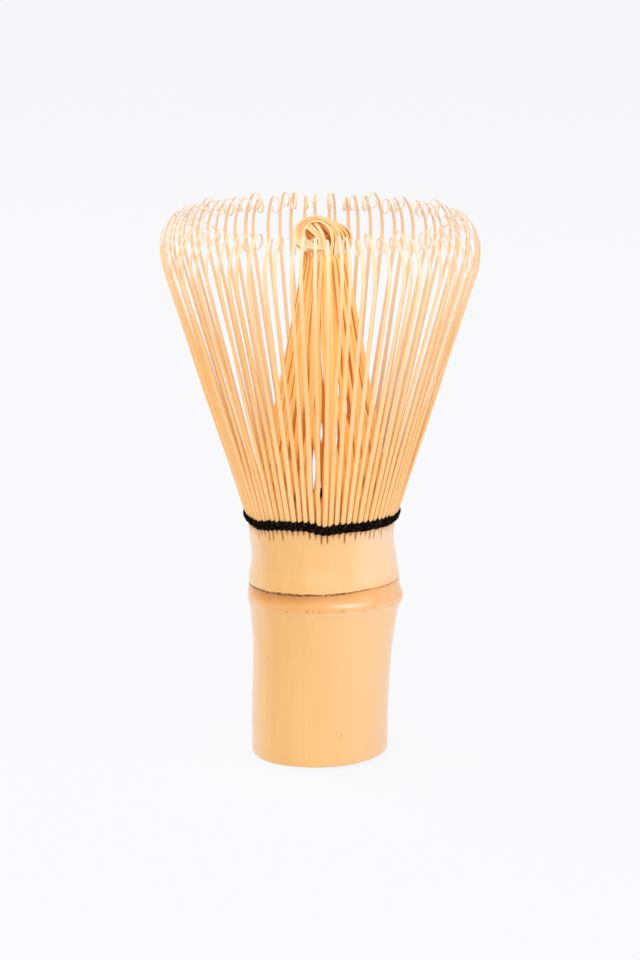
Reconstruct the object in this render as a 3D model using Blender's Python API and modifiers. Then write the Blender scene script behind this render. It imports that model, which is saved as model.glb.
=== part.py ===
"""Bamboo tea whisk: one length of culm whose upper wall is split into tines and bound with thread.

The lower culm, with its node, is the handle. Above it the wall is split into splints, and each
splint into an outer and an inner comb of fine tines. The outer tines flare and curl over at their
tips. The inner tines close to a tuft whose tips turn into a knot. A thread runs round the outer
tines, outside and inside, and holds the two apart.

Lengths are metres and angles degrees. +Z is up, -Y is the front, and the origin is the centre of
the base.
"""

import math
from collections import namedtuple

import bmesh
import bpy
from mathutils import Vector

# Handle: a length of culm with one node, open below and above the node's wall
BASE_RADIUS = 0.0133
BASE_CHAMFER = 0.0005
BORE_RADIUS = 0.0088
CROWN_RADIUS = 0.0139
CROWN_HEIGHT = 0.0420
HOLLOW_FLOOR_RADIUS = 0.0095
SEPTUM_THICKNESS = 0.0040

# Node: a broad swelling with a narrow ridge, a scar line above it, and a lean to one side
NODE_HEIGHT = 0.0305
NODE_SWELL = 0.00075
NODE_SWELL_REACH = 0.0065
NODE_RIDGE = 0.0006
NODE_RIDGE_REACH = 0.0018
SCAR_RISE = 0.0032
SCAR_DEPTH = 0.0003
SCAR_REACH = 0.0008
NODE_SHIFT = 0.0009
NODE_TILT = 3.2
NODE_LEAN_FADE = 4.0

# Splints: each is a slice of the wall, seated on the handle, that carries its two combs
SPLINTS = 16
TINES_PER_SPLINT = 5
SEAT_GAP = 0.0003
SLICE_HEIGHT = 0.0019
LAYER_GAP = 0.0003

# Outer tines: a straight flare, an elbow, an inward lean and a curled tip
OUTER_SLIT = 0.00022
OUTER_ROOT_THICKNESS = 0.00075
OUTER_ELBOW_THICKNESS = 0.00045
OUTER_TIP_THICKNESS = 0.00022
OUTER_ELBOW_WIDTH = 0.00060
OUTER_TIP_WIDTH = 0.00050
HEAD_RADIUS = 0.0301
ELBOW_HEIGHT = 0.0972
ELBOW_BEND = 0.0090
LEAN_ANGLE = 26.0
LEAN_LENGTH = 0.0018
CURL_RADIUS = 0.00145
CURL_END_RADIUS = 0.00105
CURL_TURN = 300.0
CURL_SKEW = 14.0
SKEW_STRIDE = 137.5

# Inner tines: a cone that bows out a little, a neck, and tips that swirl into a knot of shells
INNER_SLIT = 0.00030
INNER_ROOT_THICKNESS = 0.00060
INNER_BOW_THICKNESS = 0.00045
INNER_NECK_THICKNESS = 0.00028
INNER_NECK_WIDTH = 0.00046
INNER_TIP_WIDTH = 0.00036
TUFT_BOW = 0.0009
TUFT_BOW_RISE = 0.0158
TUFT_NECK_RADIUS = 0.0043
TUFT_NECK_DROP = 0.0022
KNOT_RISE = 0.0086
KNOT_EYE_RADIUS = 0.0017
KNOT_FOLD = 0.0026
KNOT_FOLD_END = 120.0
KNOT_SWIRL = 80.0
SWIRL_EASE = 1.5
SHELL_GAP = 0.00022

# Thread: one winding outside the outer tines and one inside them
THREAD_DIAMETER = 0.0006
THREAD_RISE = 0.0027
THREAD_CLEARANCE = 0.0003
THREAD_TURN_GAP = 0.00045
OUTER_TURNS = 2.0
INNER_TURNS = 1.5

# Fineness of the round forms
HANDLE_STEPS = 36
RINGS_ABOVE_NODE = 6
RINGS_BELOW_NODE = 9
RING_CROWDING = 1.7
ELBOW_STEPS = 2
CURL_STEPS = 7
FOLD_STEPS = 4
LOOP_POINTS = 24
SHARP_ANGLE = 35.0

# Shell that each inner tine of a splint takes in the knot, the outermost being 0
SHELL_ORDER = (0, 2, 4, 1, 3)

# Finishes, as linear colour, roughness and metallic value
HANDLE_FINISH = ((0.90, 0.58, 0.30), 0.42, 0.0)
OUTER_FINISH = ((0.93, 0.60, 0.30), 0.45, 0.0)
INNER_FINISH = ((0.90, 0.52, 0.22), 0.50, 0.0)
THREAD_FINISH = ((0.010, 0.008, 0.008), 0.85, 0.0)

# Values that follow from the sizes above
TINES = SPLINTS * TINES_PER_SPLINT
PITCH = math.tau / TINES
FRONT = -math.pi / 2.0
SEAT_HEIGHT = CROWN_HEIGHT + SEAT_GAP
SLIT_FOOT_HEIGHT = SEAT_HEIGHT + SLICE_HEIGHT
OUTER_ROOT_RADIUS = CROWN_RADIUS - OUTER_ROOT_THICKNESS / 2.0
INNER_FACE_RADIUS = CROWN_RADIUS - OUTER_ROOT_THICKNESS - LAYER_GAP
INNER_ROOT_RADIUS = INNER_FACE_RADIUS - INNER_ROOT_THICKNESS / 2.0
CROWN_INNER_RADIUS = INNER_FACE_RADIUS - INNER_ROOT_THICKNESS
OUTER_ROOT_WIDTH = PITCH * (CROWN_RADIUS - OUTER_ROOT_THICKNESS) - OUTER_SLIT
INNER_ROOT_WIDTH = PITCH * CROWN_INNER_RADIUS - INNER_SLIT
ELBOW_CENTRE_RADIUS = HEAD_RADIUS - OUTER_ELBOW_THICKNESS / 2.0 - ELBOW_BEND
TUFT_NECK_HEIGHT = ELBOW_HEIGHT - TUFT_NECK_DROP
KNOT_CENTRE_RADIUS = KNOT_EYE_RADIUS - KNOT_FOLD * math.cos(math.radians(KNOT_FOLD_END))
KNOT_CENTRE_HEIGHT = TUFT_NECK_HEIGHT + KNOT_RISE - KNOT_FOLD
SHELL_STEP = INNER_NECK_THICKNESS + SHELL_GAP
THREAD_HEIGHT = SLIT_FOOT_HEIGHT + THREAD_RISE

# One place along a tine: where it is, which way it runs, and how wide and thick it is there
Station = namedtuple("Station", "radius angle height out around up width thickness")


def clear_scene():
    """Remove every object that the scene starts with."""
    for item in list(bpy.data.objects):
        bpy.data.objects.remove(item, do_unlink=True)


def finish(name, values):
    """A Principled material of one colour, roughness and metallic value."""
    colour, roughness, metallic = values
    material = bpy.data.materials.new(name)
    material.use_nodes = True
    shader = material.node_tree.nodes["Principled BSDF"]
    shader.inputs["Base Color"].default_value = (*colour, 1.0)
    shader.inputs["Roughness"].default_value = roughness
    shader.inputs["Metallic"].default_value = metallic
    return material


def add_part(name, data, material, collection):
    """A named object for one piece, with its material."""
    part = bpy.data.objects.new(name, data)
    data.materials.append(material)
    collection.objects.link(part)
    return part


def mix(start, end, share):
    return start + (end - start) * share


def bump(distance, reach):
    """A bell of height 1 that has all but gone at twice its reach."""
    return math.exp(-((distance / reach) ** 2))


def culm_radius(height):
    """Outer radius of the culm: an even taper, the node's swelling and ridge, less its scar."""
    above_node = height - NODE_HEIGHT
    taper = mix(BASE_RADIUS, CROWN_RADIUS, height / CROWN_HEIGHT)
    ends = min(1.0, height / NODE_SWELL_REACH, (CROWN_HEIGHT - height) / NODE_SWELL_REACH)
    swelling = NODE_SWELL * bump(above_node, NODE_SWELL_REACH)
    ridge = NODE_RIDGE * bump(above_node, NODE_RIDGE_REACH)
    scar = SCAR_DEPTH * bump(above_node - SCAR_RISE, SCAR_REACH)
    return taper + ends * swelling + ridge - scar


def ring_heights():
    """Heights of the profile's outer points, top to bottom, crowded at the node and its scar."""
    above = CROWN_HEIGHT - NODE_HEIGHT
    below = NODE_HEIGHT - BASE_CHAMFER
    heights = [NODE_HEIGHT + SCAR_RISE + SCAR_REACH * step for step in (-1.0, 0.0, 1.0)]
    for ring in range(RINGS_ABOVE_NODE + 1):
        heights.append(NODE_HEIGHT + above * (ring / RINGS_ABOVE_NODE) ** RING_CROWDING)
    for ring in range(1, RINGS_BELOW_NODE + 1):
        heights.append(NODE_HEIGHT - below * (ring / RINGS_BELOW_NODE) ** RING_CROWDING)
    return sorted(heights, reverse=True)


def handle_profile():
    """Half section of the handle, from the node wall's top, over the crown and down outside."""
    septum_top = NODE_HEIGHT + SEPTUM_THICKNESS / 2.0
    septum_foot = NODE_HEIGHT - SEPTUM_THICKNESS / 2.0
    hollow = [(0.0, septum_top), (HOLLOW_FLOOR_RADIUS, septum_top), (CROWN_INNER_RADIUS, CROWN_HEIGHT)]
    outside = [(culm_radius(height), height) for height in ring_heights()]
    foot = [(BASE_RADIUS - BASE_CHAMFER, 0.0), (BORE_RADIUS + BASE_CHAMFER, 0.0)]
    bore = [(BORE_RADIUS, BASE_CHAMFER), (BORE_RADIUS, septum_foot), (0.0, septum_foot)]
    return hollow + outside + foot + bore


def lean_of_node(height):
    """Share of the node's lean at a height: 1 at the node, fading to 0 at the base and the crown."""
    above_node = height - NODE_HEIGHT
    reach = CROWN_HEIGHT - NODE_HEIGHT if above_node > 0.0 else NODE_HEIGHT
    return math.cos(math.pi / 2.0 * min(abs(above_node) / reach, 1.0)) ** NODE_LEAN_FADE


def turned(name, profile):
    """Mesh of a half section at +X turned once round Z."""
    outline = bpy.data.meshes.new(name + "_outline")
    points = [(radius, 0.0, height) for radius, height in profile]
    outline.from_pydata(points, [(index, index + 1) for index in range(len(points) - 1)], [])
    blank = bpy.data.objects.new(name + "_blank", outline)
    bpy.context.scene.collection.objects.link(blank)
    screw = blank.modifiers.new("turn", "SCREW")
    screw.axis = "Z"
    screw.steps = HANDLE_STEPS
    screw.render_steps = HANDLE_STEPS
    screw.use_merge_vertices = True
    screw.merge_threshold = 0.00001
    depsgraph = bpy.context.evaluated_depsgraph_get()
    mesh = bpy.data.meshes.new_from_object(blank.evaluated_get(depsgraph))
    mesh.name = name
    bpy.data.objects.remove(blank, do_unlink=True)
    return mesh


def handle(material, collection):
    """The culm below the tines, turned and then leant at its node."""
    mesh = turned("handle_culm", handle_profile())
    slope = math.tan(math.radians(NODE_TILT))
    for vertex in mesh.vertices:
        lean = lean_of_node(vertex.co.z)
        vertex.co.z += lean * slope * vertex.co.x
        vertex.co.x += lean * NODE_SHIFT
    mesh.shade_smooth()
    mesh.set_sharp_from_angle(angle=math.radians(SHARP_ANGLE))
    return add_part("handle_culm", mesh, material, collection)


def corners(station):
    """Corners of a tine at a station: outer left, outer right, inner right and inner left."""
    radial = Vector((math.cos(station.angle), math.sin(station.angle), 0.0))
    tangent = Vector((-radial.y, radial.x, 0.0))
    upright = Vector((0.0, 0.0, 1.0))
    run = radial * station.out + tangent * station.around + upright * station.up
    face = (radial * station.up - upright * station.out).normalized()
    side = run.normalized().cross(face)
    centre = radial * station.radius + upright * station.height
    across = side * station.width / 2.0
    through = face * station.thickness / 2.0
    return [centre + through - across, centre + through + across,
            centre - through + across, centre - through - across]


def comb(name, tines, material, collection):
    """A slice of the wall with tines: a strip drawn up, then every other top drawn out further.

    Each tine is a list of corner sets, the first at the seat. The strip has a cell for each tine
    and a cell for each slit between two of them.
    """
    bm = bmesh.new()
    bmesh.ops.create_grid(bm, x_segments=2 * len(tines) - 1, y_segments=1, size=1.0)
    rows = sorted(bm.verts, key=lambda vertex: (-vertex.co.y, vertex.co.x))
    outer_row = [corner for tine in tines for corner in tine[0][:2]]
    inner_row = [corner for tine in tines for corner in (tine[0][3], tine[0][2])]
    for vertex, place in zip(rows, outer_row + inner_row):
        vertex.co = place
    drawn = bmesh.ops.extrude_face_region(bm, geom=list(bm.faces), use_keep_orig=True)["geom"]
    tops = [item for item in drawn if isinstance(item, bmesh.types.BMFace)]
    lifted = [item for item in drawn if isinstance(item, bmesh.types.BMVert)]
    lift = Vector((0.0, 0.0, SLIT_FOOT_HEIGHT - SEAT_HEIGHT))
    bmesh.ops.translate(bm, verts=lifted, vec=lift)
    tops.sort(key=lambda top: (top.calc_center_median() - outer_row[0]).length)
    for tine, face in zip(tines, tops[::2]):
        order = [min(range(len(tine[0])), key=lambda index: (vertex.co - lift - tine[0][index]).length)
                 for vertex in face.verts]
        for section in tine[1:]:
            face = bmesh.ops.extrude_discrete_faces(bm, faces=[face])["faces"][0]
            for vertex, index in zip(face.verts, order):
                vertex.co = section[index]
    bmesh.ops.recalc_face_normals(bm, faces=list(bm.faces))
    mesh = bpy.data.meshes.new(name)
    bm.to_mesh(mesh)
    bm.free()
    return add_part(name, mesh, material, collection)


def flare_angle():
    """Slope from upright of the line from a root that just meets the elbow's circle."""
    out = ELBOW_CENTRE_RADIUS - OUTER_ROOT_RADIUS
    up = ELBOW_HEIGHT - SLIT_FOOT_HEIGHT
    return math.acos(-ELBOW_BEND / math.hypot(out, up)) - math.atan2(up, out)


def outer_path():
    """Radius, height and slope along an outer tine: elbow, lean and curl, turning inward all the way.

    On the elbow's circle a tine that runs at a slope stands beside the centre at that slope. The
    curl is walked in equal turns on a shrinking radius.
    """
    lean = math.radians(-LEAN_ANGLE)
    path = []
    for step in range(ELBOW_STEPS + 1):
        slope = mix(flare_angle(), lean, step / ELBOW_STEPS)
        path.append((ELBOW_CENTRE_RADIUS + ELBOW_BEND * math.cos(slope),
                     ELBOW_HEIGHT - ELBOW_BEND * math.sin(slope), slope))
    out, up, slope = path[-1]
    out += LEAN_LENGTH * math.sin(lean)
    up += LEAN_LENGTH * math.cos(lean)
    path.append((out, up, slope))
    turn = math.radians(CURL_TURN) / CURL_STEPS
    for step in range(CURL_STEPS):
        chord = 2.0 * mix(CURL_RADIUS, CURL_END_RADIUS, step / CURL_STEPS) * math.sin(turn / 2.0)
        out += chord * math.sin(slope - turn / 2.0)
        up += chord * math.cos(slope - turn / 2.0)
        slope -= turn
        path.append((out, up, slope))
    return path


def outer_stations(angle, skew):
    """Stations of an outer tine, from its seat to its tip, with its curl carried aside by the skew."""
    stations = [Station(OUTER_ROOT_RADIUS, angle, SEAT_HEIGHT, 0.0, 0.0, 1.0,
                        OUTER_ROOT_WIDTH, OUTER_ROOT_THICKNESS)]
    path = outer_path()
    curl_across = 2.0 * CURL_RADIUS
    for index, (radius, height, slope) in enumerate(path):
        share = max(index - ELBOW_STEPS, 0) / (len(path) - 1 - ELBOW_STEPS)
        aside = math.tan(math.radians(skew)) * curl_across * share
        stations.append(Station(radius, angle + aside / radius, height, math.sin(slope), 0.0, math.cos(slope),
                                mix(OUTER_ELBOW_WIDTH, OUTER_TIP_WIDTH, share),
                                mix(OUTER_ELBOW_THICKNESS, OUTER_TIP_THICKNESS, share)))
    return stations


def inner_stations(angle, shell):
    """Stations of an inner tine: seat, bow, neck, and a fold over the knot that swirls as it goes.

    A shell's fold is a circle about the knot's own, one shell step smaller for each shell inward,
    and its swirl is less in the same measure.
    """
    depth = shell * SHELL_STEP + INNER_NECK_THICKNESS / 2.0
    neck_radius = TUFT_NECK_RADIUS - depth
    length = TUFT_NECK_HEIGHT - SLIT_FOOT_HEIGHT
    rise = TUFT_BOW_RISE / length
    stations = [
        Station(INNER_ROOT_RADIUS, angle, SEAT_HEIGHT, 0.0, 0.0, 1.0,
                INNER_ROOT_WIDTH, INNER_ROOT_THICKNESS),
        Station(mix(INNER_ROOT_RADIUS, neck_radius, rise) + TUFT_BOW, angle, SLIT_FOOT_HEIGHT + TUFT_BOW_RISE,
                neck_radius - INNER_ROOT_RADIUS, 0.0, length,
                mix(INNER_ROOT_WIDTH, INNER_NECK_WIDTH, rise), INNER_BOW_THICKNESS),
        Station(neck_radius, angle, TUFT_NECK_HEIGHT, 0.0, 0.0, 1.0,
                INNER_NECK_WIDTH, INNER_NECK_THICKNESS),
    ]
    fold = KNOT_FOLD - depth
    end = math.radians(KNOT_FOLD_END)
    swirl = math.radians(KNOT_SWIRL) * fold / KNOT_FOLD
    for step in range(FOLD_STEPS + 1):
        share = step / FOLD_STEPS
        slope = end * share
        radius = KNOT_CENTRE_RADIUS + fold * math.cos(slope)
        height = KNOT_CENTRE_HEIGHT + fold * math.sin(slope)
        around = radius * swirl * SWIRL_EASE * share ** (SWIRL_EASE - 1.0) / end
        stations.append(Station(radius, angle + swirl * share ** SWIRL_EASE, height,
                                -fold * math.sin(slope), around, fold * math.cos(slope),
                                mix(INNER_NECK_WIDTH, INNER_TIP_WIDTH, share), INNER_NECK_THICKNESS))
    return stations


def outer_tines(material, collection):
    """The outer comb of every splint, its curls skewed to either side in no plain order."""
    for splint in range(SPLINTS):
        tines = []
        for tine in range(splint * TINES_PER_SPLINT, (splint + 1) * TINES_PER_SPLINT):
            skew = CURL_SKEW * math.sin(math.radians(SKEW_STRIDE * tine))
            stations = outer_stations(FRONT + PITCH * (tine + 0.5), skew)
            tines.append([corners(station) for station in stations])
        comb(f"outer_tines_{splint + 1:02d}", tines, material, collection)


def inner_tines(material, collection):
    """The inner comb of every splint, half a pitch round from the outer one."""
    for splint in range(SPLINTS):
        tines = []
        for place in range(TINES_PER_SPLINT):
            angle = FRONT + PITCH * (splint * TINES_PER_SPLINT + place)
            stations = inner_stations(angle, SHELL_ORDER[place % len(SHELL_ORDER)])
            tines.append([corners(station) for station in stations])
        comb(f"inner_tines_{splint + 1:02d}", tines, material, collection)


def outer_tine_radius(height):
    """Radius of the outer tines' middle line at a height on the flare."""
    return OUTER_ROOT_RADIUS + (height - SLIT_FOOT_HEIGHT) * math.tan(flare_angle())


def inner_tine_radius(height):
    """Radius of the outermost inner tines' middle line at a height below the bow."""
    foot, bow = inner_stations(0.0, 0)[0:2]
    return mix(foot.radius, bow.radius, (height - SLIT_FOOT_HEIGHT) / (bow.height - SLIT_FOOT_HEIGHT))


def outer_wrap_radius(height):
    """The outer winding lies on the faces of the outer tines."""
    stand_off = OUTER_ROOT_THICKNESS / 2.0 + THREAD_CLEARANCE + THREAD_DIAMETER / 2.0
    return outer_tine_radius(height) + stand_off / math.cos(flare_angle())


def inner_wrap_radius(height):
    """The inner winding lies half way between the outer and the inner tines."""
    outer_back = outer_tine_radius(height) - OUTER_ROOT_THICKNESS / 2.0
    inner_face = inner_tine_radius(height) + INNER_ROOT_THICKNESS / 2.0
    return (outer_back + inner_face) / 2.0


def winding(name, turns, radius_at, material, collection):
    """One open tube of thread that climbs a turn's step each time round, starting at the back."""
    step_up = THREAD_DIAMETER + THREAD_TURN_GAP
    count = round(turns * LOOP_POINTS) + 1
    points = []
    for index in range(count):
        turn = index / LOOP_POINTS
        height = THREAD_HEIGHT + (turn - turns / 2.0) * step_up
        angle = math.tau * turn - FRONT
        radius = radius_at(height)
        points.append(Vector((radius * math.cos(angle), radius * math.sin(angle), height)))
    gap = min((points[one] - points[other]).length for one in range(count)
              for other in range(one + LOOP_POINTS // 2, count)) - THREAD_DIAMETER
    print(f"{name}: least gap to itself {gap * 1000.0:.2f} mm")
    curve = bpy.data.curves.new(name, "CURVE")
    curve.dimensions = "3D"
    curve.bevel_depth = THREAD_DIAMETER / 2.0
    curve.bevel_resolution = 1
    curve.use_fill_caps = True
    spline = curve.splines.new("POLY")
    spline.points.add(count - 1)
    for place, point in zip(spline.points, points):
        place.co = (*point, 1.0)
    return add_part(name, curve, material, collection)


def main():
    clear_scene()
    collection = bpy.data.collections.new("bamboo_tea_whisk")
    bpy.context.scene.collection.children.link(collection)
    handle(finish("handle bamboo", HANDLE_FINISH), collection)
    outer_tines(finish("outer tine bamboo", OUTER_FINISH), collection)
    inner_tines(finish("inner tine bamboo", INNER_FINISH), collection)
    thread = finish("black thread", THREAD_FINISH)
    winding("thread_outer_wrap", OUTER_TURNS, outer_wrap_radius, thread, collection)
    winding("thread_inner_wrap", INNER_TURNS, inner_wrap_radius, thread, collection)


main()
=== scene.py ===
from math import cos, pi, radians, sin, tan, tau

import bpy
import numpy as np
from bpy.props import FloatProperty, FloatVectorProperty, IntProperty, PointerProperty
from bpy.types import Operator, Panel, PropertyGroup
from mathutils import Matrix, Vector


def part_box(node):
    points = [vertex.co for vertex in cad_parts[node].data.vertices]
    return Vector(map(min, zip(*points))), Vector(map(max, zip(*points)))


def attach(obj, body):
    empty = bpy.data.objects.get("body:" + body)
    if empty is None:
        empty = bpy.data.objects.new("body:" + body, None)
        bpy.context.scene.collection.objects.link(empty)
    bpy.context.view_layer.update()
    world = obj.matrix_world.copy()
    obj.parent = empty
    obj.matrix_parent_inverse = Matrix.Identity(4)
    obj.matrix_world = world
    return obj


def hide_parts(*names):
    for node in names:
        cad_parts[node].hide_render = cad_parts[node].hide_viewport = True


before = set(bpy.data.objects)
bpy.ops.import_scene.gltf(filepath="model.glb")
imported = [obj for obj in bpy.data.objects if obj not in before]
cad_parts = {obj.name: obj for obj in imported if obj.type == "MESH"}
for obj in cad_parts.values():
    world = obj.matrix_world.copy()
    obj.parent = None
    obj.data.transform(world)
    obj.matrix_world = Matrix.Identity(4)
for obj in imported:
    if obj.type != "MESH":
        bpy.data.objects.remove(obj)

bl_info = {
    "name": "Bamboo Tea Whisk",
    "version": (1, 0, 0),
    "blender": (4, 5, 0),
    "location": "View3D > Sidebar > Tea Whisk",
    "description": "A bamboo tea whisk on a pale floor",
    "category": "Add Mesh",
}

MM = 0.001
SEED = 41
SPLINTS = 16
TINES_PER_SPLINT = 5
TINES = SPLINTS * TINES_PER_SPLINT
PITCH = tau / TINES
FRONT = -pi / 2
UP = np.array((0, 0, 1))

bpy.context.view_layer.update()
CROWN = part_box("handle_culm")[1].z
HEAD_REACH = max(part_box(f"outer_tines_{number:02d}")[1].x for number in range(1, SPLINTS + 1))
BAND = sum(corner.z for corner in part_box("thread_outer_wrap")) / 2

# Slope of the flare above the neck, and how much a line of sight falls towards the back
FLARE_SLOPE = 0.3095
SIGHT_FALL = 0.215

# Places where light falls through: x, height at the axis, reach up and down, and half of the opening
LIGHT_GAPS = np.array(((-1.15, 55.4, 11, 0.76), (0.26, 62.1, 7.5, 0.63), (3.18, 60.9, 5.5, 0.65),
                       (5, 66.9, 6.5, 0.65), (3.5, 70.4, 5, 0.65), (0.26, 50.2, 3.2, 0.69))) * MM

# The knot's guides in its own frame: right, back in its plane, and out of it, for a knot of KNOT_SPAN
KNOT_SPAN = 5.6
KNOT_GUIDES = np.array((
    ((60, -16, -12), (61, 4, -2), (50, 16, 5), (31, 26, 9), (-2, 42, 10), (-31, 33, 8), (-47, 9, 4),
     (-45, -23, 1), (-33, -39, 0), (-13, -46, 0), (9, -42, -4)),
    ((19, -43, -8), (22, -32, 2), (22, -19, 8), (18, -4, 12), (2, 18, 12), (-16, 18, 9), (-26, 2, 5),
     (-25, -18, 3), (-16, -32, 2), (-2, -38, 0), (12, -35, -4)),
    ((8, -42, -11), (8, -29, 1), (4, -17, 6), (-6, -2, 8), (-17, 15, 7), (-26, 28, 1), (-31, 32, -6),
     (-33, 28, -13), (-30, 20, -18), (-24, 14, -21), (-18, 10, -23)),
    ((-22, -39, -13), (-20, -26, -7), (-12, -14, -5), (0, -6, -4), (12, 0, -6), (20, 9, -10),
     (20, 18, -14), (14, 23, -17), (6, 22, -20), (0, 18, -22), (-5, 12, -24)))) / 10

CAMERA_PLACE = (0, -0.5286, 0.1757)
LAMP_AIM = (0, 0, 0.055)
LAMPS = (("key", (0.78, -0.4, 0.48), 0.55), ("fill", (-0.1, -1, 0.3), 0.7),
         ("rim", (-0.7, 0.3, 0.76), 0.55), ("top", (-0.14, -0.45, 1), 0.6))
FLOOR_CORNERS = [(x, y, -0.56 * MM) for x, y in ((-4, -4), (4, -4), (4, 4), (-4, 4))]


# Sizes and colours that a user would change

def kind_of_number(scale=1, **kind):
    """A maker of one kind of number property, whose default is given in units of the scale."""
    def number(name, description, default):
        return FloatProperty(name=name, description=description, default=default * scale, **kind)
    return number


length = kind_of_number(MM, unit="LENGTH", precision=5)
angle = kind_of_number(pi / 180, subtype="ANGLE")
share = kind_of_number(subtype="FACTOR", min=0, max=2)
power = kind_of_number(unit="POWER")
focal = kind_of_number(unit="CAMERA")


def colour(name, description, *default):
    return FloatVectorProperty(name=name, description=description, default=default, subtype="COLOR",
                               size=3, min=0, max=1)


class HandleSizes(PropertyGroup):
    """The culm below the tines, with its one node."""
    base_radius: length("Base radius", "Outer radius at the foot", 13.12)
    crown_radius: length("Crown radius", "Outer radius at the crown", 13.76)
    crown_height: length("Crown height", "Where the tines begin", CROWN / MM)
    edge_round: length("Edge round", "Rounding of the foot's edge", 0.35)
    bore_radius: length("Bore radius", "Hollow below the node", 8.8)
    septum: length("Node wall", "Wall inside the node", 4)
    floor_radius: length("Hollow floor", "Upper hollow at the node wall", 9.5)
    crown_bore: length("Crown bore", "Upper hollow at the crown", 12.25)
    node_height: length("Node height", "Height of the ring's crest", 30.5)
    node_swell: length("Node swell", "Broad thickening at the node", 0.87)
    node_swell_reach: length("Node swell reach", "Reach of the thickening", 6.85)
    ring_swell: length("Ring swell", "Thickening at the narrow ring", 0.54)
    ring_reach: length("Ring reach", "Reach of the ring", 1.6)
    node_shift: length("Node shift", "Node to the right of the foot", 0.82)
    foot_slope: share("Foot slope", "Slope of the sawn foot, up to the right", 0.0187)
    neck_shift: length("Neck shift", "Neck to the right of the axis", 0.28)
    node_tilt: share("Node tilt", "Slope of the ring, up to the front", 0.08)
    scar_rise: length("Scar rise", "Leaf scar above the crest", 2.9)
    scar_slope: share("Scar slope", "Slope of the leaf scar, up to the right", 0.05)
    scar_depth: length("Scar depth", "Depth of the groove under the scar", 0.16)
    flare_rise: length("Flare rise", "Height of the neck's bend", 4.4)
    slit_depth: length("Slit depth", "Depth of the slits in the neck", 0.34)
    slit_width: length("Slit width", "Width of the slits in the neck", 0.31)


class TineSizes(PropertyGroup):
    """The outer tines: a straight flare, an elbow, an inward lean and a curled tip."""
    head_radius: length("Head radius", "Widest outer radius of the head", HEAD_REACH / MM)
    elbow_height: length("Elbow height", "Where the tines are widest", 97.4)
    front_drop: length("Front drop", "Lower elbows at the front", 1.05)
    elbow_bend: length("Elbow bend", "Bend below the elbow", 13.5)
    shoulder: length("Shoulder", "Bend above the elbow", 8.4)
    lean: angle("Lean", "Inward lean where the curl begins", 45)
    lean_length: length("Lean length", "Straight part before the curl", 0.4)
    curl_radius: length("Curl radius", "Radius at its beginning", 1.5)
    curl_end: length("Curl end radius", "Radius at its end", 1.3)
    curl_turn: angle("Curl turn", "How far the tip turns", 312)
    curl_skew: angle("Curl skew", "Spread of the curls to either side", 11)
    width: length("Width", "Width at the thread", 0.92)
    elbow_width: length("Elbow width", "Width at the elbow", 0.69)
    tip_width: length("Tip width", "Width at the tip", 0.48)
    thickness: length("Thickness", "Thickness at the root", 0.75)
    tip_thickness: length("Tip thickness", "Thickness at the tip", 0.055)


class TuftSizes(PropertyGroup):
    """The inner tines: a cone that closes to a neck, and tips that swirl into a knot."""
    root_radius: length("Root radius", "Radius at the crown", 12.55)
    neck_radius: length("Neck radius", "Outer radius under the knot", 4.25)
    neck_height: length("Neck height", "Height of the neck", 95)
    shift: length("Shift", "Tuft to the right of the axis", 0.9)
    knot_radius: length("Knot radius", "Radius of the knot", 5.75)
    knot_height: length("Knot height", "Height of the knot's middle", 100.2)
    knot_tilt: angle("Knot tilt", "Tip of the knot to the front", 28)
    width: length("Width", "Width low in the tuft", 0.85)
    neck_width: length("Neck width", "Width under the knot", 0.82)
    tip_width: length("Tip width", "Width in the knot", 0.73)
    thickness: length("Thickness", "Thickness at the root", 0.55)
    tip_thickness: length("Tip thickness", "Thickness in the knot", 0.3)


class ThreadSizes(PropertyGroup):
    """The black thread that twines in and out of the outer tines."""
    height: length("Height", "Height of the middle of the band", BAND / MM)
    radius: length("Radius", "Radius of one strand", 0.43)
    row_step: length("Row step", "Height between the two rows", 0.8)
    turns: IntProperty(name="Turns", description="Times round of the pair of strands", default=2)


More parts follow.
